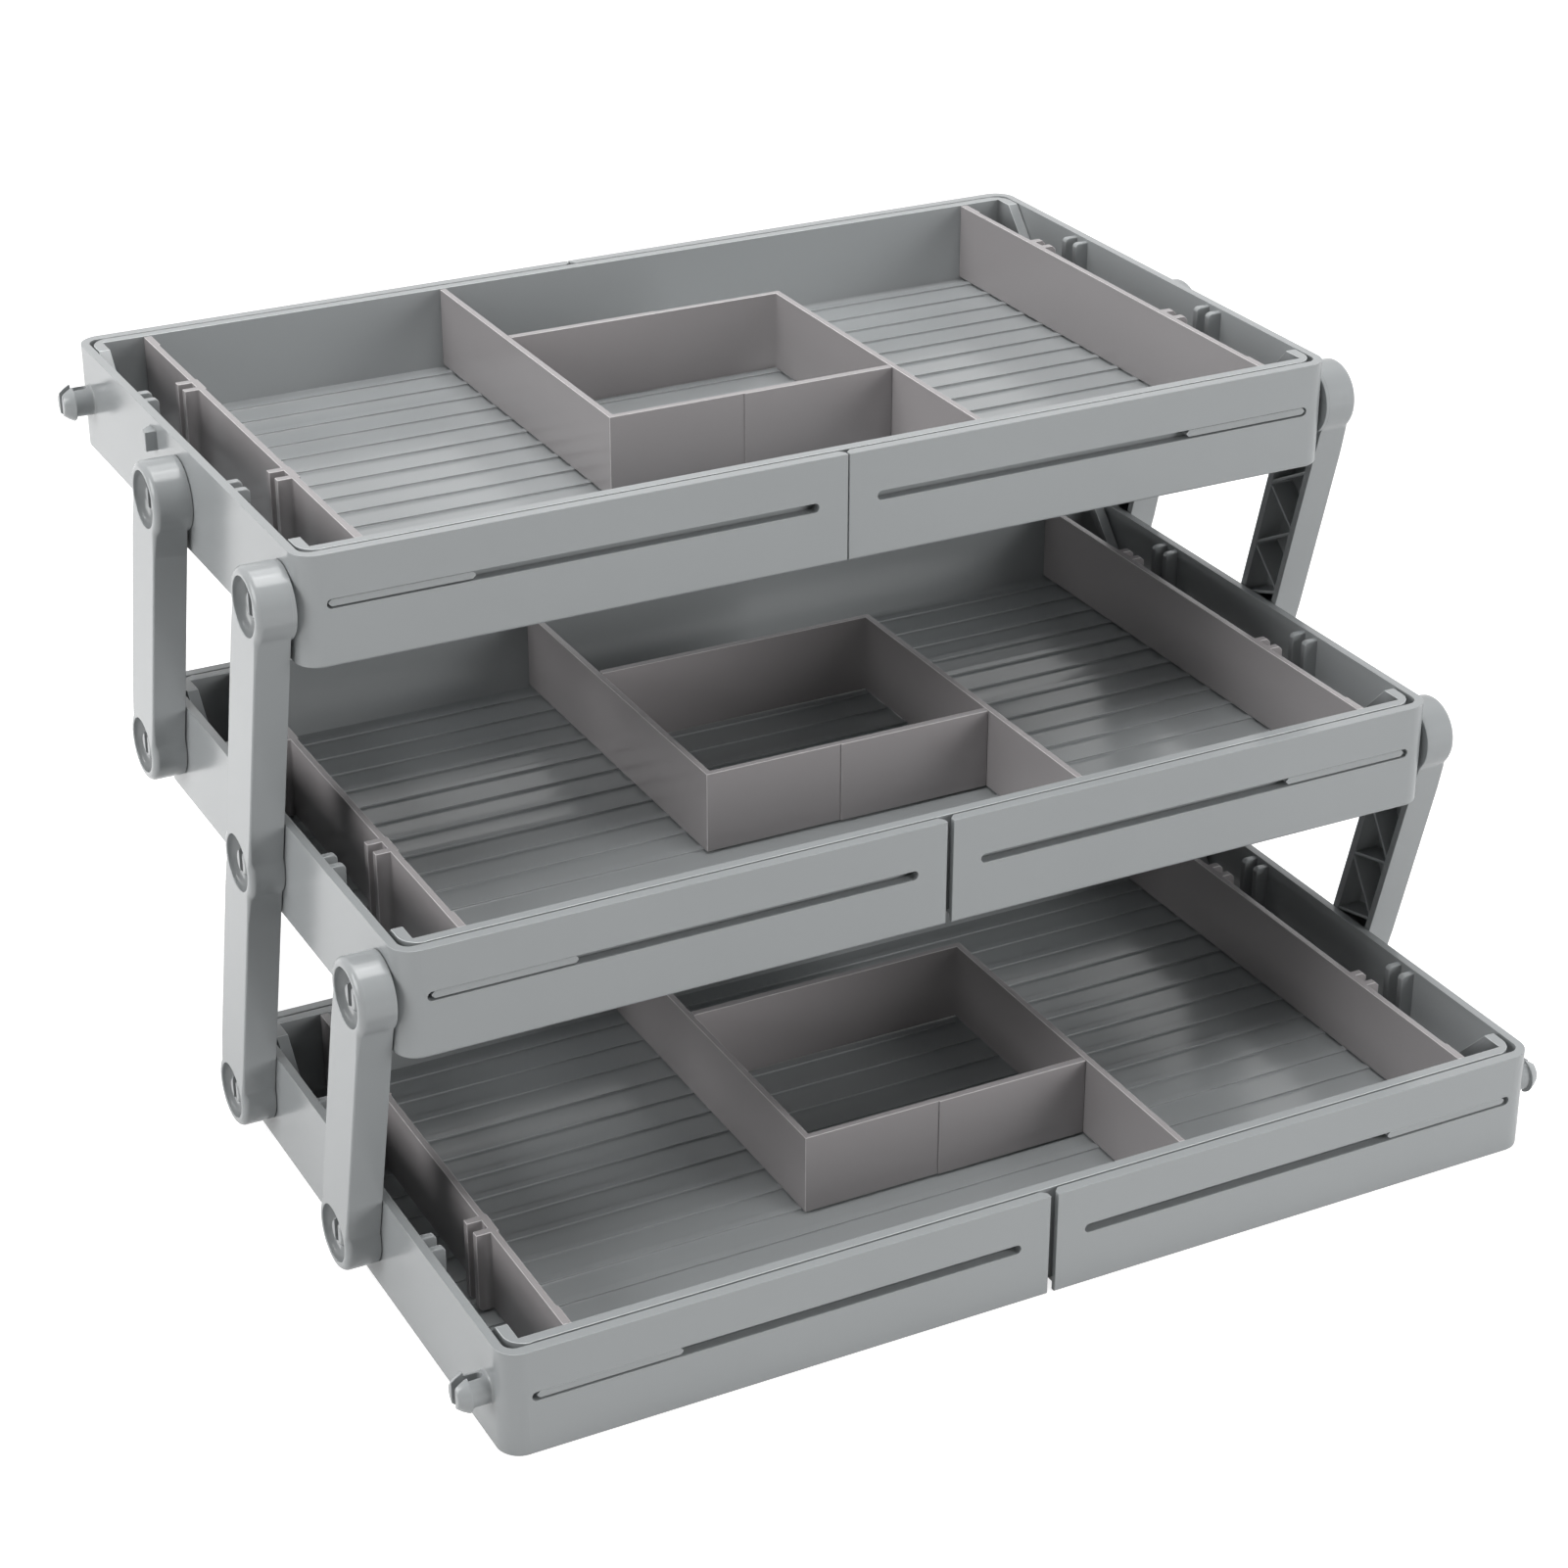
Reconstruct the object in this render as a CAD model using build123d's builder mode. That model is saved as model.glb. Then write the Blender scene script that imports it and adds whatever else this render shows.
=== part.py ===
"""Three-tier expandable organiser: widening trays held level by links on both sides.

Millimetres. X runs along the trays, Y from front to back and Z up. The origin is on
the surface that the organiser stands on, under the middle tray's centre. Each tray
is drawn in its own frame, with its origin under its centre, and then put in its tier.
"""
import os
from math import atan2, cos, degrees, hypot, radians, sin, sqrt, tan

from build123d import *

# Tray: overall
closed_width = 336.0
tray_depth = 197.0
tray_height = 33.4
corner_radius = 7.0

# Sleeve: a half tray of floor, end wall and two slotted panels
sleeve_wall = 3.4
end_wall = 2.7
sleeve_floor = 2.0
floor_gap = 4.0
lead_in = 1.6
foot_chamfer = 1.4
slot_width = 2.9
slot_level = 18.6
slot_inner_end = 9.4
slot_end_margin = 8.1
slot_chamfer = 0.9

# Inner tray
slide_clearance = 0.4
return_clearance = 0.3
tray_wall = 3.5
floor_thickness = 2.0
floor_level = 6.8
runner_width = 2.0
runner_pitch = 24.0
rib_width = 3.0
rib_height = 0.8
rib_slope = 0.5
rib_pitch = 12.0
rib_end_margin = 2.0
return_radius = 6.5
return_top = 10.7
gusset_angle = 47.0
guide_clearance = 0.2
guide_end_gap = 0.4
guide_reach = 0.3
guide_length = 43.0
guide_chamfer = 0.8

# Locating ribs on the sleeves' end walls and on the side dividers
locator_depth = 4.0
end_locator_depth = 4.7
locator_width = 2.4
locator_pitch = 6.6
locator_drop = 1.0
locator_chamfer = 1.2
locator_places = (-37.6, 42.8)

# Snap pins on the end walls
pin_margin = 12.0
pin_level = 17.3
pin_radius = 4.6
pin_split = 2.6
pin_split_floor = 1.2
pin_lip_radius = 5.7
pin_lip_sides = 16
pin_lip_start = 6.0
pin_lip_taper = 31.0
pin_length = 9.6

# Stop block beside the middle pin
stop_front = 19.4
stop_length = 6.0
stop_reach = 3.6
stop_ramp = 3.0
stop_bottom = 23.8
stop_height = 6.1

# Dividers
divider_thickness = 2.0
divider_top_gap = 0.2
divider_clearance = 0.2
floor_clearance = 0.1
end_bay_length = 13.1
pad_length = 9.0
pad_thickness = 0.5
angle_wall_place = 47.6
cross_wall_place = 38.8
cross_step_place = -4.0
cross_step = 0.4

# Links
stack_clearance = 0.5
link_lean = 14.8
link_thickness = 10.4
link_gap = 0.2
link_width = 19.2
head_radius = 11.3
shoulder_radius = 5.0
link_edge_chamfer = 1.4
link_web = 2.0
link_side_wall = 2.6
head_disc = 4.4
head_recess_radius = 8.6
head_recess_sides = 24
pivot_clearance = 0.05
truss_thickness = 1.0
truss_pitch = 23.8
truss_skew = 8.7
truss_drop = 0.4

# Tiers, from the bottom up, and how far each tier's sleeves stand drawn out
tier_names = ("bottom", "middle", "top")
drawn_out = (1.2, 1.0, 0.2)

# Places that follow from the sizes above
half_width = closed_width / 2
half_depth = tray_depth / 2
slot_outer_end = half_width - slot_end_margin
pin_pitch = half_depth - pin_margin
link_length = hypot(pin_pitch, tray_height + stack_clearance)
stagger = pin_pitch - link_length * sin(radians(link_lean))
rise = link_length * cos(radians(link_lean))
pin_places = (-pin_pitch, 0.0, pin_pitch)
wall_outside = half_depth - sleeve_wall - slide_clearance
wall_inside = wall_outside - tray_wall
return_outside = half_width - end_wall - return_clearance
return_inside = return_outside - tray_wall
floor_half_length = half_width - end_wall - end_locator_depth - return_clearance
runner_foot = sleeve_floor + return_clearance
runner_count = 2 * int(wall_inside / runner_pitch) + 1
rib_count = 2 * int(wall_inside / rib_pitch) + 1
divider_foot = floor_level + rib_height + floor_clearance
divider_top = tray_height - divider_top_gap
side_divider_place = return_inside - end_bay_length - divider_thickness / 2
link_face = half_width + max(drawn_out) + link_gap


def build_pin():
    """Split snap pin with a many-sided tapered lip, standing along +Z on its wall."""
    with BuildPart() as pin:
        with BuildSketch():
            Circle(pin_radius)
        extrude(amount=pin_lip_start)
        with BuildSketch(Plane.XY.offset(pin_lip_start)):
            RegularPolygon(pin_lip_radius, pin_lip_sides)
        extrude(amount=pin_length - pin_lip_start, taper=pin_lip_taper)
        with BuildSketch(Plane.XY.offset(pin_split_floor)):
            Rectangle(2 * pin_lip_radius, pin_split)
        extrude(amount=pin_length, mode=Mode.SUBTRACT)
    return pin.part


def build_locator_pairs(wall_face, depth, foot, top):
    """Two pairs of locating ribs that stand out from a wall towards +X."""
    with BuildPart() as locators:
        with BuildSketch(Plane.XZ) as outline:
            with Locations((wall_face, foot)):
                Rectangle(depth, top - foot, align=(Align.MIN, Align.MIN))
            chamfer(outline.vertices().sort_by(Axis.X)[-2:].sort_by(Axis.Z)[-1:], locator_chamfer)
        extrude(amount=locator_width / 2, both=True)
    places = [middle + offset for middle in locator_places for offset in (-locator_pitch / 2, locator_pitch / 2)]
    return [locators.part.moved(Location((0, place, 0))) for place in places]


def build_sleeve(pin):
    """Left end sleeve; the right one is its mirror image."""
    with BuildPart() as sleeve:
        with BuildSketch() as plan:
            with Locations((-half_width, 0)):
                Rectangle(half_width, tray_depth, align=(Align.MIN, Align.CENTER))
            fillet(plan.vertices().group_by(Axis.X)[0], corner_radius)
        extrude(amount=tray_height)
        foot = sleeve.faces().sort_by(Axis.Z)[0].edges().filter_by(lambda edge: edge.center().X < -foot_chamfer)
        chamfer(foot, foot_chamfer)
        with BuildSketch(Plane.XY.offset(sleeve_floor)) as hollow:
            with Locations((end_wall - half_width, 0)):
                Rectangle(half_width, tray_depth - 2 * sleeve_wall, align=(Align.MIN, Align.CENTER))
            fillet(hollow.vertices().group_by(Axis.X)[0], corner_radius - sleeve_wall)
        extrude(amount=tray_height, mode=Mode.SUBTRACT)
        panel_ends = sleeve.edges().filter_by(Axis.Z).group_by(Axis.X)[-1]
        chamfer(panel_ends.filter_by(lambda edge: abs(edge.center().Y) < half_depth - sleeve_wall / 2), lead_in)
        with BuildSketch():
            with Locations((0, 0)):
                Rectangle(floor_gap, tray_depth - 2 * sleeve_wall)
        extrude(amount=sleeve_floor, mode=Mode.SUBTRACT)
        with BuildSketch(Plane.XZ) as slot:
            with Locations((-(slot_inner_end + slot_outer_end) / 2, slot_level)):
                Rectangle(slot_outer_end - slot_inner_end, slot_width)
            chamfer(slot.vertices(), slot_chamfer)
        extrude(amount=tray_depth, both=True, mode=Mode.SUBTRACT)
        add(build_locator_pairs(end_wall - half_width, end_locator_depth, sleeve_floor, tray_height - locator_drop))
        with Locations([Location((-half_width, place, pin_level), (0, -90, 0)) for place in pin_places]):
            add(pin)
        with BuildSketch(Plane.XY.offset(stop_bottom)):
            with BuildLine():
                Polyline(
                    (-half_width, stop_front),
                    (-half_width - stop_reach, stop_front),
                    (-half_width - stop_reach, stop_front + stop_length - stop_ramp),
                    (-half_width, stop_front + stop_length),
                    close=True,
                )
            make_face()
        extrude(amount=stop_height)
    return sleeve.part


def build_tray():
    """Inner tray: walls with corner returns, ribbed floor, runners and guide ribs."""
    gusset_foot = wall_outside - return_top - (tray_height - floor_level) / tan(radians(gusset_angle))
    guide_outer_end = slot_outer_end - guide_end_gap
    guide_height = slot_width - 2 * guide_clearance
    with BuildPart() as tray:
        with BuildSketch(Plane.XY.offset(runner_foot)):
            RectangleRounded(2 * return_outside, 2 * wall_outside, return_radius)
            Rectangle(2 * return_inside, 2 * wall_inside, mode=Mode.SUBTRACT)
        extrude(amount=tray_height - runner_foot)
        with BuildSketch(Plane.YZ):
            with BuildLine():
                Polyline(
                    (return_top - wall_outside, tray_height),
                    (-gusset_foot, floor_level),
                    (-gusset_foot, 0),
                    (gusset_foot, 0),
                    (gusset_foot, floor_level),
                    (wall_outside - return_top, tray_height),
                    close=True,
                )
            make_face()
        extrude(amount=closed_width, both=True, mode=Mode.SUBTRACT)
        with BuildSketch(Plane.XY.offset(floor_level - floor_thickness)):
            Rectangle(2 * floor_half_length, 2 * wall_outside)
        extrude(amount=floor_thickness)
        with BuildSketch(Plane.XY.offset(runner_foot)):
            with GridLocations(0, runner_pitch, 1, runner_count):
                Rectangle(2 * floor_half_length, runner_width)
        extrude(amount=floor_level - floor_thickness - runner_foot)
        with BuildSketch(Plane.YZ):
            with GridLocations(rib_pitch, 0, rib_count, 1):
                with Locations((0, floor_level)):
                    Trapezoid(rib_width, rib_height, degrees(atan2(rib_height, rib_slope)), align=(Align.CENTER, Align.MIN))
        extrude(amount=floor_half_length - rib_end_margin, both=True)
        with BuildSketch(Plane.XZ):
            guide_middle = guide_outer_end - guide_length / 2
            with Locations((-guide_middle, slot_level), (guide_middle, slot_level)):
                guides = Rectangle(guide_length, guide_height)
            chamfer(guides.vertices(), guide_chamfer)
        extrude(amount=half_depth - guide_reach, both=True)
        with BuildSketch(Plane.XY.offset(floor_level + rib_height)):
            Rectangle(2 * return_inside, 2 * wall_inside)
        extrude(amount=tray_height, mode=Mode.SUBTRACT)
    return tray.part


def build_side_divider(pad_side):
    """Side divider, centred on its own wall, with its locating ribs towards -X and its pads on either side."""
    divider_length = 2 * (wall_inside - divider_clearance)
    height = divider_top - divider_foot
    pad_places = [*locator_places, (pad_length - divider_length) / 2, (divider_length - pad_length) / 2]
    with BuildPart() as divider:
        with BuildSketch(Plane.YZ.offset(-divider_thickness / 2)):
            with Locations((0, divider_foot)):
                Rectangle(divider_length, height, align=(Align.CENTER, Align.MIN))
        extrude(amount=divider_thickness)
        with BuildSketch(Plane.YZ.offset(pad_side * divider_thickness / 2)):
            with Locations([(place, divider_foot) for place in pad_places]):
                Rectangle(pad_length, height, align=(Align.CENTER, Align.MIN))
        extrude(amount=pad_side * pad_thickness)
        for locator in build_locator_pairs(divider_thickness / 2, locator_depth, divider_foot, divider_top):
            add(locator.mirror(Plane.YZ))
    return divider.part


def build_angle_divider():
    """Left L-shaped divider in the tray's frame; the right one is it turned half round."""
    half_wall = divider_thickness / 2
    long_front = -cross_wall_place - half_wall
    long_back = wall_inside - divider_clearance
    cross_end = angle_wall_place - half_wall - divider_clearance
    height = divider_top - divider_foot
    with BuildPart() as divider:
        with BuildSketch(Plane.XY.offset(divider_foot)):
            with BuildLine():
                Polyline(
                    (-angle_wall_place - half_wall, long_front),
                    (cross_step_place, long_front),
                    (cross_step_place, long_front - cross_step),
                    (cross_end, long_front - cross_step),
                    (cross_end, long_front + divider_thickness),
                    (-angle_wall_place + half_wall, long_front + divider_thickness),
                    (-angle_wall_place + half_wall, long_back),
                    (-angle_wall_place - half_wall, long_back),
                    close=True,
                )
            make_face()
        extrude(amount=height)
    return divider.part


def build_shoulders():
    """Straight shoulders between a link's head and its narrower body, as a sketch about the pivot."""
    shoulder_middle = link_width / 2 + shoulder_radius
    shoulder_level = sqrt((head_radius + shoulder_radius) ** 2 - shoulder_middle**2)
    head_share = head_radius / (head_radius + shoulder_radius)
    with BuildSketch() as shoulders:
        with BuildLine():
            Polyline(
                (0, shoulder_level),
                (link_width / 2, shoulder_level),
                (head_share * shoulder_middle, head_share * shoulder_level),
                (0, head_share * shoulder_level),
                close=True,
            )
        make_face()
        mirror(about=Plane.YZ)
        mirror(about=Plane.XZ)
    return shoulders.sketch


def build_truss(handed):
    """Bracing ribs between two pivots, zigzag from side wall to side wall, as a sketch about their middle."""
    across = (link_width - link_side_wall) / 2
    levels = [head_radius - link_length / 2]
    for start in (-truss_pitch, 0.0, truss_pitch):
        levels += [start, start + truss_skew]
    nodes = [(across * (-1) ** index, handed * level) for index, level in enumerate(levels)]
    with BuildSketch() as truss:
        for (start_y, start_z), (end_y, end_z) in zip(nodes, nodes[1:]):
            turn = degrees(atan2(end_z - start_z, end_y - start_y))
            with Locations(Location(((start_y + end_y) / 2, (start_z + end_z) / 2, 0), turn)):
                Rectangle(hypot(end_y - start_y, end_z - start_z), truss_thickness)
    return truss.sketch


def build_link(pivot_count, truss_handed):
    """Left link, upright, with its lowest pivot on the X axis and its open side at X = 0."""
    run = (pivot_count - 1) * link_length
    pivots = [(0, index * link_length) for index in range(pivot_count)]
    pocket_width = link_width - 2 * link_side_wall
    pocket_length = link_length - 2 * head_radius
    with BuildPart() as link:
        with BuildSketch(Plane.YZ):
            with Locations((0, run / 2)):
                Rectangle(link_width, run)
        extrude(amount=-link_thickness)
        chamfer(link.edges().filter_by(Axis.Z).group_by(Axis.X)[0], link_edge_chamfer)
        with BuildSketch(Plane.YZ):
            with Locations(pivots):
                Circle(head_radius)
                add(build_shoulders())
        extrude(amount=-link_thickness)
        with BuildSketch(Plane.YZ):
            for pivot in pivots[:-1]:
                with Locations((0, pivot[1] + link_length / 2)):
                    Rectangle(pocket_width, pocket_length)
        extrude(amount=link_web - link_thickness, mode=Mode.SUBTRACT)
        with BuildSketch(Plane.YZ.offset(-truss_drop)):
            for pivot in pivots[:-1]:
                with Locations((0, pivot[1] + link_length / 2)):
                    add(build_truss(truss_handed))
        extrude(amount=link_web + truss_drop - link_thickness)
        with BuildSketch(Plane.YZ.offset(-head_disc)):
            with Locations(pivots):
                RegularPolygon(head_recess_radius, head_recess_sides)
        extrude(amount=-link_thickness, mode=Mode.SUBTRACT)
        with BuildSketch(Plane.YZ):
            with Locations(pivots):
                Circle(pin_radius + pivot_clearance)
        extrude(amount=-link_thickness, mode=Mode.SUBTRACT)
    return link.part


def write_piece(part, name, place):
    """Put a copy of a part in its place, name it and write it."""
    piece = part.moved(place)
    piece.label = name
    export_step(piece, f"parts/{name}.step")


def write_tiers():
    """The three trays with their sleeves and dividers."""
    sleeve = build_sleeve(build_pin())
    tray = build_tray()
    left_divider = build_side_divider(1)
    right_divider = build_side_divider(-1)
    angle_divider = build_angle_divider()
    half_turn = Location((0, 0, 0), (0, 0, 180))
    for index, (tier, out) in enumerate(zip(tier_names, drawn_out)):
        place = Location((0, (index - 1) * stagger, index * rise))
        write_piece(tray, f"{tier}_tray", place)
        write_piece(sleeve, f"{tier}_left_sleeve", place * Location((-out, 0, 0)))
        write_piece(sleeve.mirror(Plane.YZ), f"{tier}_right_sleeve", place * Location((out, 0, 0)))
        write_piece(left_divider, f"{tier}_left_divider", place * Location((-side_divider_place, 0, 0)))
        write_piece(
            right_divider.mirror(Plane.YZ), f"{tier}_right_divider", place * Location((side_divider_place, 0, 0))
        )
        write_piece(angle_divider, f"{tier}_left_angle_divider", place)
        write_piece(angle_divider, f"{tier}_right_angle_divider", place * half_turn)


def write_links():
    """Three links on each side, leaning forward from their lower pins."""
    short_link = build_link(2, -1)
    lean = Location((0, 0, 0), (link_lean, 0, 0))
    links = {
        "long_link": (build_link(3, 1), 0, pin_pitch),
        "lower_short_link": (short_link, 0, 0.0),
        "upper_short_link": (short_link, 1, pin_pitch),
    }
    for name, (link, tier, pin_place) in links.items():
        pin_y = (tier - 1) * stagger + pin_place
        pin_z = tier * rise + pin_level
        write_piece(link, f"left_{name}", Location((-link_face, pin_y, pin_z)) * lean)
        write_piece(link.mirror(Plane.YZ), f"right_{name}", Location((link_face, pin_y, pin_z)) * lean)


os.makedirs("parts", exist_ok=True)
write_tiers()
write_links()
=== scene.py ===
"""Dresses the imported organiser: rounded moulded pieces, plastic materials, floor, light and camera."""
from math import atan2, copysign, cos, degrees, hypot, pi, radians, sin, sqrt

import bmesh
import bpy
from mathutils import Matrix, Vector


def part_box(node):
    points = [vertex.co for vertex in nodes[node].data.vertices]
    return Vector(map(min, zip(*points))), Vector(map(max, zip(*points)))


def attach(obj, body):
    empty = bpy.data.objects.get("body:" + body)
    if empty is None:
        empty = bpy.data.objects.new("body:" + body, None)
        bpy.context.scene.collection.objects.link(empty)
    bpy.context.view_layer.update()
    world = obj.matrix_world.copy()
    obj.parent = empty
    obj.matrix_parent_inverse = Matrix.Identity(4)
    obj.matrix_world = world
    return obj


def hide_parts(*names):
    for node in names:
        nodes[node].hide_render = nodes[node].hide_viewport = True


# Sizes of the solids, in millimetres, each tier in its tray's own frame
MM = 0.001
TIERS = ("bottom", "middle", "top")
DRAWN_OUT = {"bottom": 1.2, "middle": 1.0, "top": 0.2}
HALF_WIDTH = 168.0
HALF_DEPTH = 98.5
HEIGHT = 33.4
CORNER = 7.0
PANEL = 3.4
END_WALL = 2.7
FLOOR = 2.0
FLOOR_GAP = 4.0
RUNNER_FOOT = 2.3
WALL_OUTSIDE = 94.7
GUIDES_FROM = 110.0
GUIDE_FRONT = 96.0
RIB_PITCH = 12.0
RIB_MIDDLE = 7.2
RIB_HALF_HEIGHT = 0.5
RIB_SIDE_FROM = 0.9
RIB_SIDE_TO = 1.6
RIBS_HALF_LENGTH = 158.5
RIBS_HALF_DEPTH = 90.0
DIVIDER_LOCATOR_TIP = 151.0
LEAD_IN = 1.6
SLOT_INNER_END = 9.4
SLOT_OUTER_END = 159.9
SLOT_LEVEL = 18.6
SLOT_WIDTH = 2.9
LOCATOR_PLACES = (-40.9, -34.3, 39.5, 46.1)
LOCATOR_DEPTH = 4.7
LOCATOR_WIDTH = 2.4
LOCATOR_TOP = 32.4
PIN_PLACES = (-86.5, 0.0, 86.5)
PIN_LEVEL = 17.3
PIN_LENGTH = 9.6
PIN_RADIUS = 4.6
PIN_SPLIT = 2.6
PIN_SPLIT_END = 1.2
STOP_FRONT = 19.4
STOP_BACK = 25.4
STOP_LOW = 23.8
STOP_HIGH = 29.9
STOP_REACH = 3.6
STOP_RAMP = 3.0
LINK_FACE = 169.4
LINK_THICKNESS = 10.4
LINK_HALF_WIDTH = 9.6
LINK_LENGTH = 92.9057
LINK_LEAN = radians(14.8)
HEAD = 11.3
SHOULDER = 5.0
SIDE_WALL = 2.6
WEB = 2.0
DISC = 4.4
RECESS = 8.6
PIN_HOLE = 4.65
TRUSS_THICKNESS = 1.0
TRUSS_DROP = 0.4
TRUSS_PITCH = 23.8
TRUSS_SKEW = 8.7
STAGGER = PIN_PLACES[2] - LINK_LENGTH * sin(LINK_LEAN)
RISE = LINK_LENGTH * cos(LINK_LEAN)

# Roundings and small changes that only the dressed pieces have, in millimetres
FOOT_ROUNDING = 0.9
SEAM_HALF_WIDTH = 0.14
SLEEVE_EDGE = 0.2
TRAY_EDGE = 0.16
DIVIDER_EDGE = 0.18
LOCATOR_EDGE = 0.45
LOCATOR_ROUNDING = 1.5
STOP_EDGE = 0.3
PIN_EDGE = 0.16
PIN_ROOT = 0.6
PIN_LIP = ((5.95, 4.6), (6.0, 5.55), (6.12, 5.7), (6.35, 5.68))
PIN_CONE = ((8.0, 4.75), (9.2, 3.85), (9.5, 3.55), (PIN_LENGTH, 3.3))
LINK_EDGE = 0.3
TRUSS_EDGE = 0.2
BOSS_EDGE = 0.15
BOSS_INSET = 0.05
POCKET_CORNER = 0.8
OPEN_SIDE_EDGE = 0.2
HEAD_ROUNDING = 2.0
BODY_ROUNDING = 0.6
ROUNDING_FADE = 9.0
GUIDE_RISE = 0.4
GUIDE_DROP = 0.04
WALL_SETBACK = 0.3
RIB_HALF_WIDTH = 1.3
LOCATOR_GROWTH = 0.4

# Edges that stay crisp: their shares of the full rounding, and the widest step that counts as narrow
CRISP = 0.3
CRISP_SLOT = 0.4
NARROW = 0.6

# How far a piece runs into its neighbour, and how far a cutter runs past what it cuts, in millimetres
INTO = 0.5
RIB_INTO = 0.3
PAST = 1.0
FAR_PAST = 5.0

# How far a point may lie off a place and still count as being there, in millimetres
NEAR = 0.1
VERY_NEAR = 0.02

# How finely round forms are drawn: points round a pin or hole and round a head, and turns of a small fillet
HOLE_STEPS = 48
HEAD_STEPS = 72
QUARTER_TURN = (0, 30, 60, 90)

# Material slots of a dressed piece: plain faces, rounded edges painted paler as a highlight, and mould seams
# painted paler as a highlight
PLAIN, EDGE, SEAM = 0, 1, 2

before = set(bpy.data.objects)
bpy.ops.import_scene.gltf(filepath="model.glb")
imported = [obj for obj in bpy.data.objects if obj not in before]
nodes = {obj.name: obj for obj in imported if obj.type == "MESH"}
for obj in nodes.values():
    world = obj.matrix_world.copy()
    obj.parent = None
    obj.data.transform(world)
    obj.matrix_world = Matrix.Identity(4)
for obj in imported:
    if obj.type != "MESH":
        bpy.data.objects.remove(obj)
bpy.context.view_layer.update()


# Materials
def add_node(tree, kind, values=None, **settings):
    """Add a shader node with its input values and its settings."""
    node = tree.nodes.new(kind)
    for name, value in settings.items():
        setattr(node, name, value)
    for name, value in (values or {}).items():
        node.inputs[name].default_value = value
    return node


def plastic(name, shade, spread, roughness, wear):
    """Moulded plastic: faint clouds, flow streaks in its gloss and a fine skin; wear lightens it in spots."""
    material = bpy.data.materials.new(name)
    material.use_nodes = True
    tree = material.node_tree
    link = tree.links.new
    shader = tree.nodes["Principled BSDF"]
    shader.inputs["IOR"].default_value = 1.5
    place = add_node(tree, "ShaderNodeTexCoord")

    clouds = add_node(tree, "ShaderNodeTexNoise", {"Scale": 14.0, "Detail": 3.0, "Roughness": 0.55})
    link(place.outputs["Object"], clouds.inputs["Vector"])
    tint = add_node(tree, "ShaderNodeValToRGB")
    dark, pale = tint.color_ramp.elements
    dark.position, pale.position = 0.32, 0.68
    dark.color = [*(channel * (1 - spread) for channel in shade), 1]
    pale.color = [*(min(channel * (1 + spread), 1) for channel in shade), 1]
    link(clouds.outputs["Fac"], tint.inputs["Fac"])

    rub = add_node(tree, "ShaderNodeTexNoise", {"Scale": 300.0, "Detail": 3.0})
    link(place.outputs["Object"], rub.inputs["Vector"])
    spots = add_node(tree, "ShaderNodeMapRange", {"From Min": 0.4, "From Max": 0.65, "To Max": wear})
    link(rub.outputs["Fac"], spots.inputs["Value"])
    colour = add_node(tree, "ShaderNodeMix", data_type="RGBA", blend_type="MIX")
    colour.inputs["B"].default_value = (0.75, 0.75, 0.75, 1)
    link(spots.outputs["Result"], colour.inputs["Factor"])
    link(tint.outputs["Color"], colour.inputs["A"])
    link(colour.outputs["Result"], shader.inputs["Base Color"])

    stretch = add_node(tree, "ShaderNodeMapping")
    stretch.inputs["Scale"].default_value = (4.0, 18.0, 18.0)
    link(place.outputs["Object"], stretch.inputs["Vector"])
    flow = add_node(tree, "ShaderNodeTexNoise", {"Scale": 1.0, "Detail": 4.0})
    link(stretch.outputs["Vector"], flow.inputs["Vector"])
    change = 0.015
    gloss = add_node(
        tree,
        "ShaderNodeMapRange",
        {"From Min": 0.3, "From Max": 0.7, "To Min": roughness - change, "To Max": roughness + change},
    )
    link(flow.outputs["Fac"], gloss.inputs["Value"])
    link(gloss.outputs["Result"], shader.inputs["Roughness"])

    skin = add_node(tree, "ShaderNodeTexNoise", {"Scale": 900.0, "Detail": 2.0})
    link(place.outputs["Object"], skin.inputs["Vector"])
    bump = add_node(tree, "ShaderNodeBump", {"Strength": 0.06, "Distance": 0.02 * MM})
    link(skin.outputs["Fac"], bump.inputs["Height"])
    link(bump.outputs["Normal"], shader.inputs["Normal"])
    return material


BODY_SHADE = (0.325, 0.340, 0.346)
DIVIDER_SHADE = (0.322, 0.305, 0.309)
# Edges and mould seams are painted paler than the plain faces: a painted highlight along them, with wear
# spots on top.
HIGHLIGHT_PALER = 1.6
body_highlight_shade = [channel * HIGHLIGHT_PALER for channel in BODY_SHADE]
divider_highlight_shade = [channel * HIGHLIGHT_PALER for channel in DIVIDER_SHADE]
body_finish = [
    plastic("body_plastic", BODY_SHADE, spread=0.015, roughness=0.18, wear=0.0),
    plastic("body_plastic_edge_highlights", body_highlight_shade, spread=0.02, roughness=0.2, wear=0.2),
    plastic("body_plastic_seam_highlights", body_highlight_shade, spread=0.02, roughness=0.3, wear=0.2),
]
divider_finish = [
    plastic("divider_plastic", DIVIDER_SHADE, spread=0.015, roughness=0.2, wear=0.0),
    plastic("divider_plastic_edge_highlights", divider_highlight_shade, spread=0.02, roughness=0.2, wear=0.2),
]


# Mesh tools: everything is drawn in millimetres
def new_piece(name, points, faces):
    """Mesh object with its faces turned outwards."""
    mesh = bpy.data.meshes.new(name)
    mesh.from_pydata(points, [], faces)
    piece = show(name, mesh)
    form = bmesh.new()
    form.from_mesh(mesh)
    bmesh.ops.recalc_face_normals(form, faces=form.faces)
    form.to_mesh(mesh)
    form.free()
    return piece


def show(name, data):
    """Put an object with a mesh, a lamp or a camera in the scene."""
    thing = bpy.data.objects.new(name, data)
    bpy.context.scene.collection.objects.link(thing)
    return thing


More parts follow.
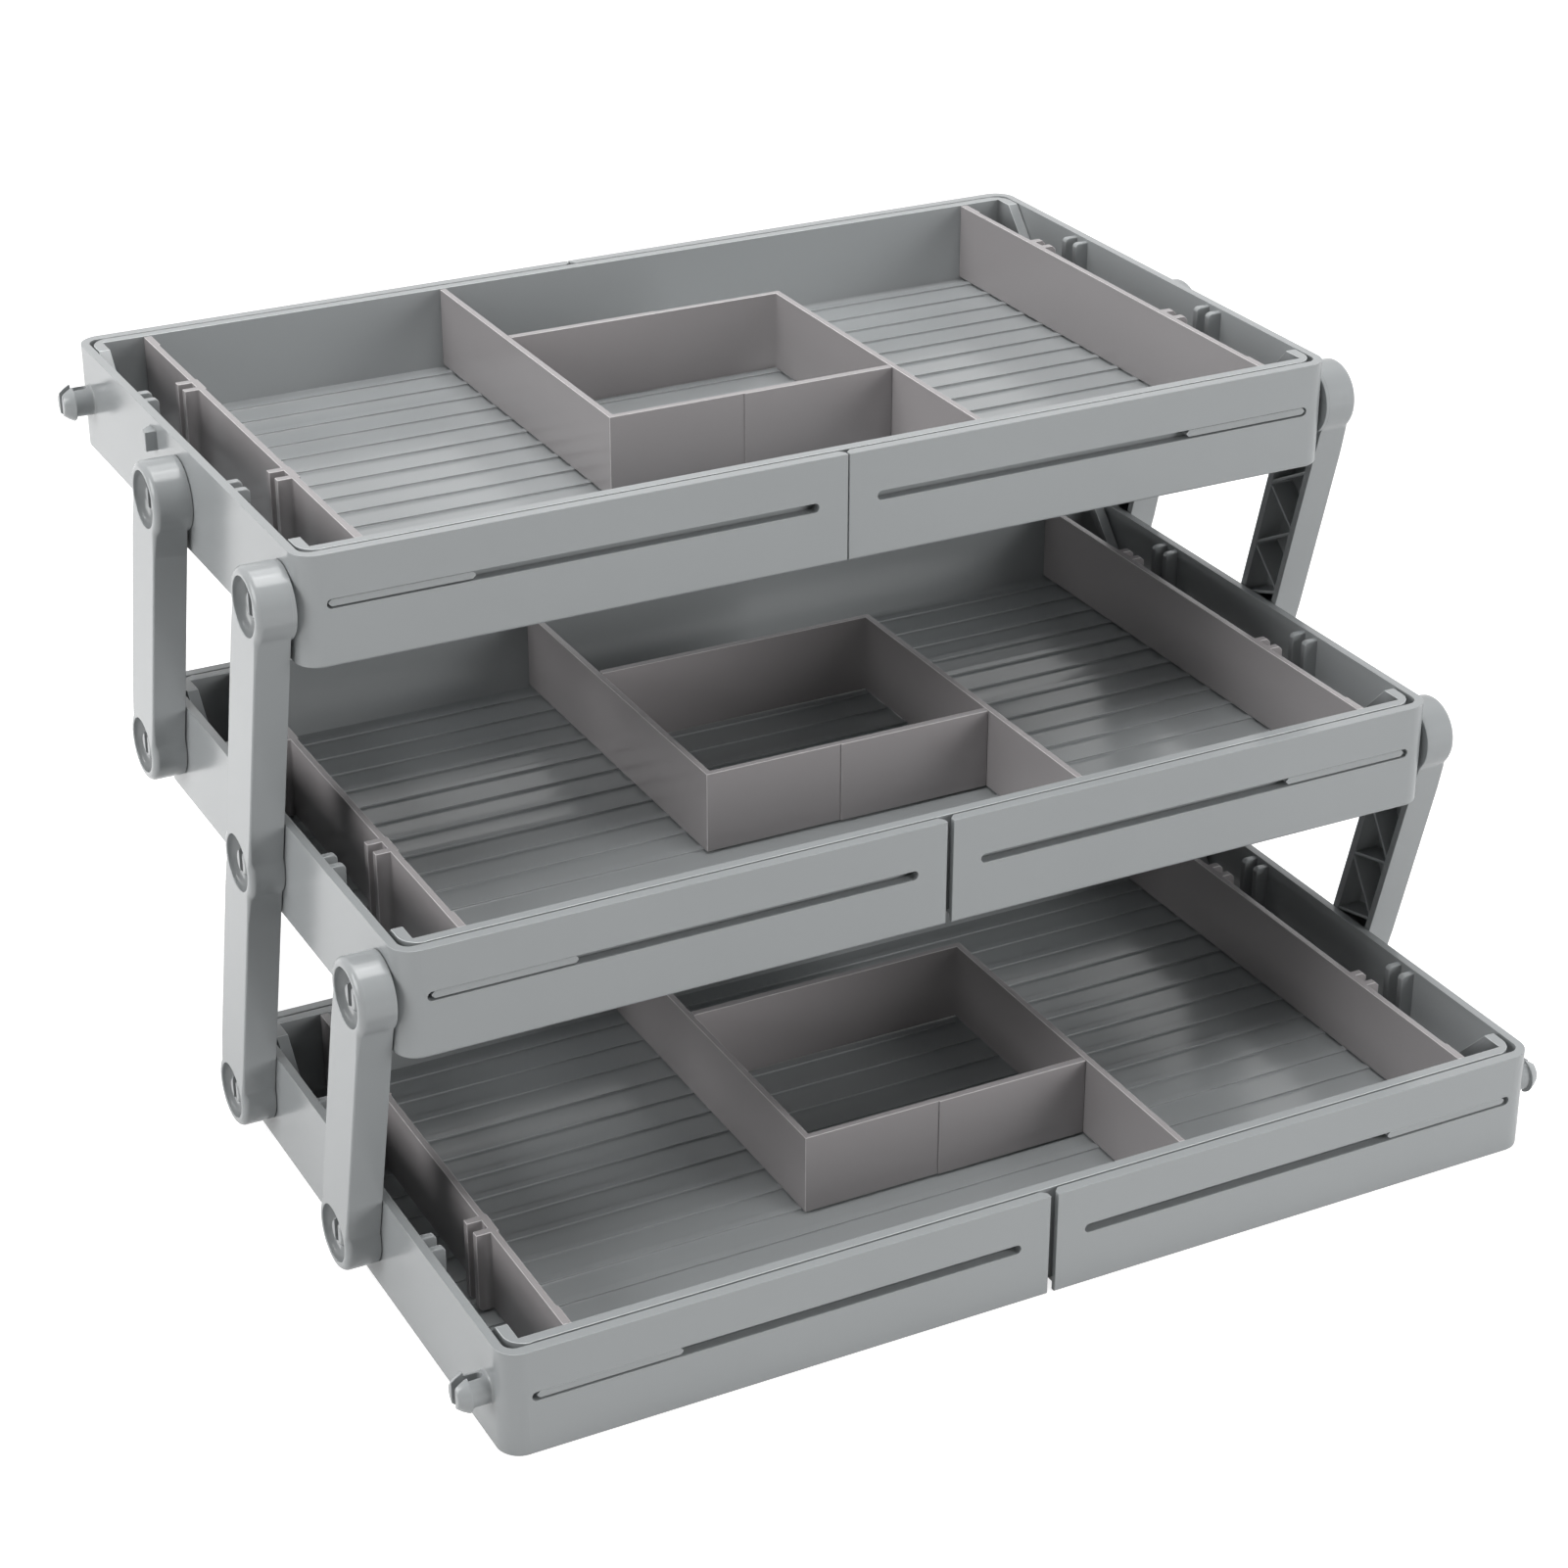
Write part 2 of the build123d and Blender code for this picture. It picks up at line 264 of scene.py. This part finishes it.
def stack(name, rings):
    """Solid through a stack of closed outlines with the same number of points."""
    count = len(rings[0])
    points = [point for ring in rings for point in ring]
    last = len(points) - count
    faces = [tuple(range(count)), tuple(range(last, last + count))]
    for low in range(0, last, count):
        for start in range(count):
            end = (start + 1) % count
            faces.append((low + start, low + end, low + end + count, low + start + count))
    return new_piece(name, points, faces)


def along_x(outline, *places):
    """Rings for a stack: an outline in Y and Z, repeated at places along X."""
    return [[(x, u, v) for u, v in outline] for x in places]


def along_y(outline, *places):
    """Rings for a stack: an outline in X and Z, repeated at places along Y."""
    return [[(u, y, v) for u, v in outline] for y in places]


def along_z(outline, *places):
    """Rings for a stack: an outline in X and Y, repeated at places along Z."""
    return [[(u, v, z) for u, v in outline] for z in places]


def arc(centre, radius, start, end, steps):
    """Points on an arc, from a start to an end angle in degrees."""
    turns = [radians(start + (end - start) * step / steps) for step in range(steps + 1)]
    return [(centre[0] + radius * cos(turn), centre[1] + radius * sin(turn)) for turn in turns]


def circle(centre, radius, steps):
    """Points round a whole circle."""
    return arc(centre, radius, 0, 360 - 360 / steps, steps - 1)


def box_outline(low, high):
    """Corners of an upright rectangle."""
    return [(low[0], low[1]), (high[0], low[1]), (high[0], high[1]), (low[0], high[1])]


def bake(piece):
    """Keep the mesh that a piece's modifiers make."""
    shapes = bpy.context.evaluated_depsgraph_get()
    mesh = bpy.data.meshes.new_from_object(piece.evaluated_get(shapes))
    piece.modifiers.clear()
    piece.data = mesh
    return piece


def cut(piece, *cutters):
    """Take the cutters' solids out of a piece."""
    for cutter in cutters:
        step = piece.modifiers.new("cut", "BOOLEAN")
        step.object = cutter
        step.solver = "EXACT"
    bake(piece)
    for cutter in cutters:
        bpy.data.objects.remove(cutter)
    return piece


def soften(piece, radius, segments=3, least_angle=38, share=None):
    """Round the outer edges that are sharper than an angle, all of them fully or each by its own share."""
    form = bmesh.new()
    form.from_mesh(piece.data)
    weights = form.edges.layers.float.new("bevel_weight_edge")
    for edge in form.edges:
        if edge.is_convex and edge.calc_face_angle(0) > radians(least_angle):
            edge[weights] = share(edge) if share else 1.0
    form.to_mesh(piece.data)
    form.free()
    rounding = piece.modifiers.new("rounding", "BEVEL")
    rounding.width = radius
    rounding.segments = segments
    rounding.limit_method = "WEIGHT"
    rounding.use_clamp_overlap = False
    # The rounded faces take the edge material, painted paler as a highlight.
    rounding.material = EDGE


def rounded(piece, radius, **choices):
    """Piece with its edges rounded for good."""
    soften(piece, radius, **choices)
    return bake(piece)


def join(name, pieces):
    """One object with the meshes of several."""
    form = bmesh.new()
    for piece in pieces:
        piece.data.transform(piece.matrix_world)
        form.from_mesh(piece.data)
        bpy.data.objects.remove(piece)
    mesh = bpy.data.meshes.new(name)
    form.to_mesh(mesh)
    form.free()
    return show(name, mesh)


def finish(piece, materials):
    """Smooth shading that keeps flat faces flat, and the materials for plain faces, and for edges and seams
    painted paler as highlights.
    """
    piece.data.materials.clear()
    for material in materials:
        piece.data.materials.append(material)
    piece.data.shade_smooth()
    shading = piece.modifiers.new("shading", "WEIGHTED_NORMAL")
    shading.weight = 100
    shading.keep_sharp = True


def hang(source, name, node, place, mirrored=False):
    """Put a copy of a drawn piece in its place, in metres, for the CAD node that it dresses."""
    mesh = source.data.copy()
    mesh.transform(Matrix.Diagonal((-1 if mirrored else 1, 1, 1, 1)))
    if mirrored:
        mesh.flip_normals()
    mesh.transform(Matrix.Scale(MM, 4) @ place)
    piece = show(name, mesh)
    finish(piece, body_finish)
    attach(piece, node)
    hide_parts(node)


# Sleeves
def draw_sleeve_shell():
    """Floor, end wall and slotted panels of a left sleeve."""
    foot_turns = [radians(turn) for turn in QUARTER_TURN]
    levels = [(FOOT_ROUNDING * (1 - cos(turn)), FOOT_ROUNDING * (1 - sin(turn))) for turn in foot_turns]
    levels.append((HEIGHT, 0.0))
    flat_end = HALF_WIDTH - CORNER
    past_seam = 268
    rings = []
    for z, inset in levels:
        face = inset - HALF_DEPTH
        front = [(0, face), (SEAM_HALF_WIDTH - flat_end, face), (-SEAM_HALF_WIDTH - flat_end, face)]
        front += arc((-flat_end, CORNER - HALF_DEPTH), CORNER - inset, past_seam, 180, 16)
        ring = front + [(x, -y) for x, y in reversed(front)]
        rings.append([(x, y, z) for x, y in ring])
    shell = stack("sleeve_shell", rings)
    # A thin strip on each mould seam, where the front and back panels meet the corners, takes the seam
    # material, painted paler as the highlight that the seam catches.
    for face in shell.data.polygons:
        on_seam = abs(face.center.x + flat_end) < SEAM_HALF_WIDTH / 2
        if on_seam and abs(face.center.y) > HALF_DEPTH - FOOT_ROUNDING:
            face.material_index = SEAM
    for material in body_finish:
        shell.data.materials.append(material)

    inside = HALF_DEPTH - PANEL
    inner_corner = CORNER - PANEL
    wall = HALF_WIDTH - END_WALL
    centre = (inner_corner - wall, inner_corner - inside)
    edge = [(FAR_PAST, -inside)] + arc(centre, inner_corner, 270, 180, 10)
    hollow_outline = edge + [(x, -y) for x, y in reversed(edge)]
    hollow = stack("hollow", along_z(hollow_outline, FLOOR, HEIGHT + FAR_PAST))
    gap_outline = box_outline((-FLOOR_GAP / 2, -inside), (FAR_PAST, inside))
    gap = stack("gap", along_z(gap_outline, -PAST, FLOOR + PAST))
    half = SLOT_WIDTH / 2
    slot_outline = arc((-SLOT_OUTER_END + half, SLOT_LEVEL), half, 90, 270, 12)
    slot_outline += arc((-SLOT_INNER_END - half, SLOT_LEVEL), half, -90, 90, 12)
    slot = stack("slot", along_y(slot_outline, -HALF_DEPTH - FAR_PAST, HALF_DEPTH + FAR_PAST))
    wedges = []
    for side in (-1, 1):
        near, far = side * (inside - PAST), side * (inside + LEAD_IN + PAST)
        wedge = [(PAST, near), (-LEAD_IN - PAST, near), (PAST, far)]
        wedges.append(stack("wedge", along_z(wedge, -PAST, HEIGHT + FAR_PAST)))
    return cut(shell, hollow, gap, slot, *wedges)


def draw_locators():
    """Two pairs of locating ribs on the end wall, with rounded tops."""
    wall = END_WALL - HALF_WIDTH - INTO
    tip = END_WALL - HALF_WIDTH + LOCATOR_DEPTH
    rounding_centre = (tip - LOCATOR_ROUNDING, LOCATOR_TOP - LOCATOR_ROUNDING)
    outline = [(wall, FLOOR - INTO), (tip, FLOOR - INTO)]
    outline += arc(rounding_centre, LOCATOR_ROUNDING, 0, 90, 6) + [(wall, LOCATOR_TOP)]
    half = LOCATOR_WIDTH / 2
    return [stack("locator", along_y(outline, place - half, place + half)) for place in LOCATOR_PLACES]


def draw_stop():
    """Block on the end wall that a link's head stops at, with a ramp to the back."""
    face = -HALF_WIDTH
    outline = [(face + INTO, STOP_FRONT), (face - STOP_REACH, STOP_FRONT)]
    outline += [(face - STOP_REACH, STOP_BACK - STOP_RAMP), (face, STOP_BACK), (face + INTO, STOP_BACK)]
    return stack("stop", along_z(outline, STOP_LOW, STOP_HIGH))


def draw_pin():
    """Split snap pin, along -X from the end wall's face."""
    root_outside = PIN_RADIUS + PIN_ROOT
    profile = [(-INTO, root_outside)]
    for turn in QUARTER_TURN:
        turn = radians(turn)
        profile.append((PIN_ROOT - PIN_ROOT * cos(turn), root_outside - PIN_ROOT * sin(turn)))
    profile += [*PIN_LIP, *PIN_CONE]
    turns = [2 * pi * step / HOLE_STEPS for step in range(HOLE_STEPS)]
    rings = []
    for reach, radius in profile:
        rings.append([(-reach, radius * cos(turn), radius * sin(turn)) for turn in turns])
    pin = stack("pin", rings)
    half = PIN_SPLIT / 2
    past_tip = -12.0
    past_side = 8.0
    split = [(past_tip, half)] + arc((-PIN_SPLIT_END - half, 0), half, 90, -90, 10) + [(past_tip, -half)]
    cut(pin, stack("split", along_z(split, -past_side, past_side)))
    return rounded(pin, PIN_EDGE, segments=2)


def on_slot(edge):
    """Whether an edge of a sleeve runs round one of its slots."""
    panel_inside = HALF_DEPTH - PANEL - NEAR
    half = SLOT_WIDTH / 2 + NEAR
    return all(abs(vert.co.y) > panel_inside and abs(vert.co.z - SLOT_LEVEL) < half for vert in edge.verts)


def draw_sleeve():
    """Left sleeve with its stop, locating ribs and pins."""
    shell = rounded(draw_sleeve_shell(), SLEEVE_EDGE, share=lambda edge: CRISP_SLOT if on_slot(edge) else 1.0)
    ribs = [rounded(rib, LOCATOR_EDGE) for rib in draw_locators()]
    parts = [shell, rounded(draw_stop(), STOP_EDGE), *ribs]
    pin = draw_pin()
    for place in PIN_PLACES:
        copy = show("pin", pin.data.copy())
        copy.data.transform(Matrix.Translation((-HALF_WIDTH, place, PIN_LEVEL)))
        parts.append(copy)
    bpy.data.objects.remove(pin)
    return join("sleeve_drawing", parts)


# Links
def link_side(pivots):
    """Front half of a link's outline, as arc centre, radius, angle, bulge or hollow, and share of body."""
    across = LINK_HALF_WIDTH + SHOULDER
    along = sqrt((HEAD + SHOULDER) ** 2 - across**2)
    lean = degrees(atan2(along, across))
    neck_steps = 5
    neck_body = 0.6
    head_step = 5
    points = []
    for index, pivot in enumerate(pivots):
        first = index == 0
        last = index == len(pivots) - 1
        if not first:
            points.append(((across, pivot - along - ROUNDING_FADE), SHOULDER, pi, -1, 1))
            for turn in range(neck_steps):
                share = turn / neck_steps
                angle = radians(180 - lean * share)
                points.append(((across, pivot - along), SHOULDER, angle, -1, neck_body * (1 - share)))
        start, end = (-90 if first else -lean), (90 if last else lean)
        steps = int((end - start) / head_step)
        for step in range(steps + 1):
            points.append(((0, pivot), HEAD, radians(start + (end - start) * step / steps), 1, 0))
        if not last:
            for turn in range(1, neck_steps + 1):
                share = turn / neck_steps
                angle = radians(180 + lean - lean * share)
                points.append(((across, pivot + along), SHOULDER, angle, -1, neck_body * share))
            points.append(((across, pivot + along + ROUNDING_FADE), SHOULDER, pi, -1, 1))
    return points


def link_ring(side, level):
    """One ring of a link, at a level that gives the inset and the depth for a rounding."""
    ring = []
    for (across, along), radius, angle, sign, body in side:
        inset, depth = level(HEAD_ROUNDING + (BODY_ROUNDING - HEAD_ROUNDING) * body)
        reach = radius - sign * inset
        ring.append((-depth, across + reach * cos(angle), along + reach * sin(angle)))
    return ring + [(x, -y, z) for x, y, z in reversed(ring[1:-1])]


def outer_level(turn):
    """Level on the rounding round a link's outer face, by its turn in degrees."""
    turn = radians(turn)
    return lambda rounding: (rounding * (1 - cos(turn)), LINK_THICKNESS - rounding * (1 - sin(turn)))


def draw_link(pivot_count, handed, reaches):
    """Left link, upright, with its lowest pivot on the X axis and its open side at X = 0."""
    pivots = [index * LINK_LENGTH for index in range(pivot_count)]
    side = link_side(pivots)
    open_side = ((OPEN_SIDE_EDGE, 0.0), (0.3 * OPEN_SIDE_EDGE, 0.3 * OPEN_SIDE_EDGE), (0.0, OPEN_SIDE_EDGE))
    levels = [lambda rounding, fixed=fixed: fixed for fixed in open_side]
    levels += [outer_level(turn) for turn in range(0, 91, 15)]
    link = stack("link", [link_ring(side, level) for level in levels])
    cutters = []
    for pivot in pivots:
        recess = circle((0, pivot), RECESS, HEAD_STEPS)
        hole = circle((0, pivot), PIN_HOLE, HOLE_STEPS)
        cutters.append(stack("recess", along_x(recess, -LINK_THICKNESS - PAST, -DISC)))
        cutters.append(stack("hole", along_x(hole, -DISC - PAST, PAST)))
    half = LINK_HALF_WIDTH - SIDE_WALL - POCKET_CORNER
    for pivot in pivots[:-1]:
        low = pivot + HEAD + POCKET_CORNER
        high = pivot + LINK_LENGTH - HEAD - POCKET_CORNER
        outline = []
        for quarter, centre in enumerate(((half, high), (-half, high), (-half, low), (half, low))):
            outline += arc(centre, POCKET_CORNER, quarter * 90, quarter * 90 + 90, 4)
        cutters.append(stack("pocket", along_x(outline, WEB - LINK_THICKNESS, PAST)))
    cut(link, *cutters)
    parts = [rounded(link, LINK_EDGE, least_angle=50)]
    for pivot in pivots[:-1]:
        parts += draw_truss(pivot + LINK_LENGTH / 2, handed)
    for pivot, reach in zip(pivots, reaches):
        if reach:
            parts.append(draw_boss(pivot, reach))
    return join("link_drawing", parts)


def draw_truss(middle, handed):
    """Bracing ribs, zigzag from side wall to side wall."""
    across = LINK_HALF_WIDTH - SIDE_WALL / 2
    levels = [HEAD - LINK_LENGTH / 2]
    for start in (-TRUSS_PITCH, 0.0, TRUSS_PITCH):
        levels += [start, start + TRUSS_SKEW]
    ends = [(across * (-1) ** index, middle + handed * level) for index, level in enumerate(levels)]
    ribs = []
    for (start_y, start_z), (end_y, end_z) in zip(ends, ends[1:]):
        run = hypot(end_y - start_y, end_z - start_z)
        side_y = (start_z - end_z) / run * TRUSS_THICKNESS / 2
        side_z = (end_y - start_y) / run * TRUSS_THICKNESS / 2
        outline = [
            (start_y + side_y, start_z + side_z),
            (end_y + side_y, end_z + side_z),
            (end_y - side_y, end_z - side_z),
            (start_y - side_y, start_z - side_z),
        ]
        rib = stack("rib", along_x(outline, WEB - LINK_THICKNESS - RIB_INTO, -TRUSS_DROP))
        ribs.append(rounded(rib, TRUSS_EDGE, segments=2))
    return ribs


def draw_boss(pivot, reach):
    """Bearing ring that carries a head on to its own tier's end wall."""
    boss = stack("boss", along_x(circle((0, pivot), HEAD - BOSS_INSET, HEAD_STEPS), -RIB_INTO, reach))
    hole = stack("hole", along_x(circle((0, pivot), PIN_HOLE, HOLE_STEPS), -PAST, reach + PAST))
    return rounded(cut(boss, hole), BOSS_EDGE, segments=2)


# Trays and dividers: the solids' own shapes with their edges rounded, in their tier's own frame
def on_rib(x, y, z):
    """Whether a point of a tray is on a floor rib or at its foot."""
    in_field = abs(x) < RIBS_HALF_LENGTH and abs(y) < RIBS_HALF_DEPTH
    return in_field and abs(z - RIB_MIDDLE) < RIB_HALF_HEIGHT


def tray_shift(x, y, z):
    """How far a point moves: guides clear their slots, walls stand off the panels, ribs get upright sides."""
    shift = Vector((0, 0, 0))
    outside = abs(x) > GUIDES_FROM and abs(y) > WALL_OUTSIDE - NEAR
    if outside and abs(z - SLOT_LEVEL) < SLOT_WIDTH / 2 + NEAR / 2:
        shift.z = GUIDE_RISE if z < SLOT_LEVEL else -GUIDE_DROP
    if abs(abs(y) - WALL_OUTSIDE) < VERY_NEAR:
        shift.y = -copysign(WALL_SETBACK, y)
    off_rib = (y + RIB_PITCH / 2) % RIB_PITCH - RIB_PITCH / 2
    if on_rib(x, y, z) and RIB_SIDE_FROM < abs(off_rib) < RIB_SIDE_TO:
        shift.y = copysign(RIB_HALF_WIDTH, off_rib) - off_rib
    return shift


def divider_shift(x, y, z):
    """How far a point of a side divider moves: its locating ribs are deeper."""
    return Vector((copysign(LOCATOR_GROWTH, x) if abs(x) > DIVIDER_LOCATOR_TIP else 0, 0, 0))


def is_crisp(edge, middle, foot):
    """Whether an edge belongs to the floor ribs, the front of a guide or a narrow step, which stay crisp."""
    ends = [vert.co / MM - Vector((0, middle, foot)) for vert in edge.verts]
    at_ribs = all(on_rib(*end) for end in ends)
    on_guide = all(abs(end.y) > GUIDE_FRONT for end in ends)
    narrowest = min(face.calc_area() for face in edge.link_faces) / edge.calc_length() / MM
    return at_ribs or on_guide or narrowest < NARROW


def dress_node(name, radius, materials, shift=None):
    """Copy of a solid's mesh with merged faces, small shifts and rounded edges."""
    mesh = nodes[name].data.copy()
    for extra in ("custom_normal", "sharp_edge", "sharp_face"):
        if extra in mesh.attributes:
            mesh.attributes.remove(mesh.attributes[extra])
    form = bmesh.new()
    form.from_mesh(mesh)
    bmesh.ops.remove_doubles(form, verts=form.verts, dist=0.001 * MM)
    bmesh.ops.dissolve_limit(form, angle_limit=radians(0.5), verts=form.verts, edges=form.edges)
    for face in form.faces:
        face.material_index = PLAIN
    low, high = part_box(name)
    middle = (low.y + high.y) / 2 / MM
    foot = low.z / MM - RUNNER_FOOT
    if shift:
        for vert in form.verts:
            vert.co += shift(*(vert.co / MM - Vector((0, middle, foot)))) * MM
    form.to_mesh(mesh)
    form.free()
    piece = show(f"dressed_{name}", mesh)

    def share(edge):
        return CRISP if is_crisp(edge, middle, foot) else 1.0

    soften(piece, radius * MM, least_angle=32, share=share)
    finish(piece, materials)
    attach(piece, name)
    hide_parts(name)


def dress_sleeves():
    """One drawn sleeve for all six, mirrored on the right, each as far out as its tier is drawn."""
    sleeve = draw_sleeve()
    for index, tier in enumerate(TIERS):
        out = DRAWN_OUT[tier]
        for side, sign in (("left", -1), ("right", 1)):
            place = Matrix.Translation((sign * out, (index - 1) * STAGGER, index * RISE))
            hang(sleeve, f"dressed_{tier}_{side}_sleeve", f"{tier}_{side}_sleeve", place, side == "right")
    bpy.data.objects.remove(sleeve)


def dress_links():
    """Links, each from its lowest tier and that tier's pin, with bosses as long as its tiers' ends differ."""
    front, middle, back = PIN_PLACES
    links = {
        "long_link": (TIERS, 1, 0, back),
        "lower_short_link": (TIERS[:2], -1, 0, middle),
        "upper_short_link": (TIERS[1:], -1, 1, back),
    }
    furthest = max(DRAWN_OUT.values())
    lean = Matrix.Rotation(LINK_LEAN, 4, "X")
    for name, (tiers, handed, index, pin_place) in links.items():
        drawing = draw_link(len(tiers), handed, [furthest - DRAWN_OUT[tier] for tier in tiers])
        for side, sign in (("left", -1), ("right", 1)):
            pivot = (sign * LINK_FACE, (index - 1) * STAGGER + pin_place, index * RISE + PIN_LEVEL)
            place = Matrix.Translation(pivot) @ lean
            hang(drawing, f"dressed_{side}_{name}", f"{side}_{name}", place, side == "right")
        bpy.data.objects.remove(drawing)


def dress_trays():
    """Each tier's tray, its two side dividers and its two L-shaped ones."""
    for tier in TIERS:
        dress_node(f"{tier}_tray", TRAY_EDGE, body_finish, tray_shift)
        for side in ("left", "right"):
            dress_node(f"{tier}_{side}_divider", DIVIDER_EDGE, divider_finish, divider_shift)
        for side in ("left", "right"):
            dress_node(f"{tier}_{side}_angle_divider", DIVIDER_EDGE, divider_finish)


# Stage
def by_ray(tree, output, seen, front, back, other):
    """Strength of a glow: seen directly, mirrored from the room's front and back, and for other light."""
    turn = 0.3
    path = add_node(tree, "ShaderNodeLightPath")
    place = add_node(tree, "ShaderNodeTexCoord")
    axes = add_node(tree, "ShaderNodeSeparateXYZ")
    depth = add_node(
        tree,
        "ShaderNodeMapRange",
        {"From Min": -turn, "From Max": turn, "To Min": front, "To Max": back},
    )
    straight = add_node(tree, "ShaderNodeMapRange", {"To Min": other, "To Max": seen})
    gloss = add_node(tree, "ShaderNodeMapRange", {"To Min": other})
    most = add_node(tree, "ShaderNodeMath", operation="MAXIMUM")
    link = tree.links.new
    link(place.outputs[output], axes.inputs["Vector"])
    link(axes.outputs["Y"], depth.inputs["Value"])
    link(depth.outputs["Result"], gloss.inputs["To Max"])
    link(path.outputs["Is Camera Ray"], straight.inputs["Value"])
    link(path.outputs["Is Glossy Ray"], gloss.inputs["Value"])
    link(straight.outputs["Result"], most.inputs[0])
    link(gloss.outputs["Result"], most.inputs[1])
    return most.outputs["Value"]


def build_floor():
    """Pale paper that keeps the shadow, and glows where it is seen or mirrored."""
    half = 6.0
    corners = [(x, y, 0) for x, y in box_outline((-half, -half), (half, half))]
    mesh = bpy.data.meshes.new("floor")
    mesh.from_pydata(corners, [], [(0, 1, 2, 3)])
    floor = show("floor", mesh)
    material = bpy.data.materials.new("floor_paper")
    material.use_nodes = True
    tree = material.node_tree
    link = tree.links.new
    tree.nodes.clear()
    out = add_node(tree, "ShaderNodeOutputMaterial")
    paper = add_node(tree, "ShaderNodeBsdfDiffuse", {"Color": (0.6, 0.6, 0.6, 1)})
    glow = add_node(tree, "ShaderNodeEmission", {"Color": (1, 1, 1, 1)})
    both = add_node(tree, "ShaderNodeAddShader")
    link(by_ray(tree, "Object", seen=0.8, front=0.2, back=0.9, other=0.0), glow.inputs["Strength"])
    link(paper.outputs["BSDF"], both.inputs[0])
    link(glow.outputs["Emission"], both.inputs[1])
    link(both.outputs["Shader"], out.inputs["Surface"])
    floor.data.materials.append(material)


def build_world():
    """White room with little light of its own."""
    world = bpy.data.worlds.new("studio")
    bpy.context.scene.world = world
    world.use_nodes = True
    tree = world.node_tree
    sky = tree.nodes["Background"]
    sky.inputs["Color"].default_value = (1, 1, 1, 1)
    strength = by_ray(tree, "Generated", seen=1.0, front=0.2, back=1.1, other=0.15)
    tree.links.new(strength, sky.inputs["Strength"])


def add_lamp(name, place, power, mirrored=True):
    """Soft square lamp that shines on the organiser, with its own reflections or without."""
    target = (0, 0, 0.1)
    lamp = bpy.data.lights.new(name, "AREA")
    lamp.shape = "RECTANGLE"
    lamp.size = lamp.size_y = 1.0
    lamp.energy = power
    holder = show(name, lamp)
    aim = Vector(target) - Vector(place)
    holder.matrix_world = Matrix.Translation(place) @ aim.to_track_quat("-Z", "Y").to_matrix().to_4x4()
    holder.visible_glossy = mirrored


def add_camera():
    """Long lens from the front left, a little above."""
    camera = bpy.data.cameras.new("camera")
    camera.lens = 79.785
    camera.sensor_width = 36.0
    camera.clip_start = 0.01
    holder = show("camera", camera)
    eye = Vector((-0.44651, -0.85511, 0.57897))
    forward = Vector((0.411199, 0.791859, -0.451526))
    right = Vector((0.887651, -0.460516, 0.000748))
    up = right.cross(forward)
    turn = Matrix((right, up, -forward)).transposed().to_4x4()
    holder.matrix_world = Matrix.Translation(eye) @ turn
    bpy.context.scene.camera = holder


for name, node in nodes.items():
    materials = divider_finish if "divider" in name else body_finish
    node.data.materials.clear()
    node.data.materials.append(materials[PLAIN])
dress_sleeves()
dress_links()
dress_trays()
build_floor()
build_world()
add_lamp("left", (-1.67, 0.0, 0.77), 18.5)
add_lamp("front", (1.0, -1.43, 0.53), 18.5, mirrored=False)
add_lamp("top", (0.0, -0.15, 1.9), 19)
add_lamp("back", (0.0, 0.65, 1.8), 9.5)
add_camera()

bpy.context.scene.view_settings.view_transform = "Standard"
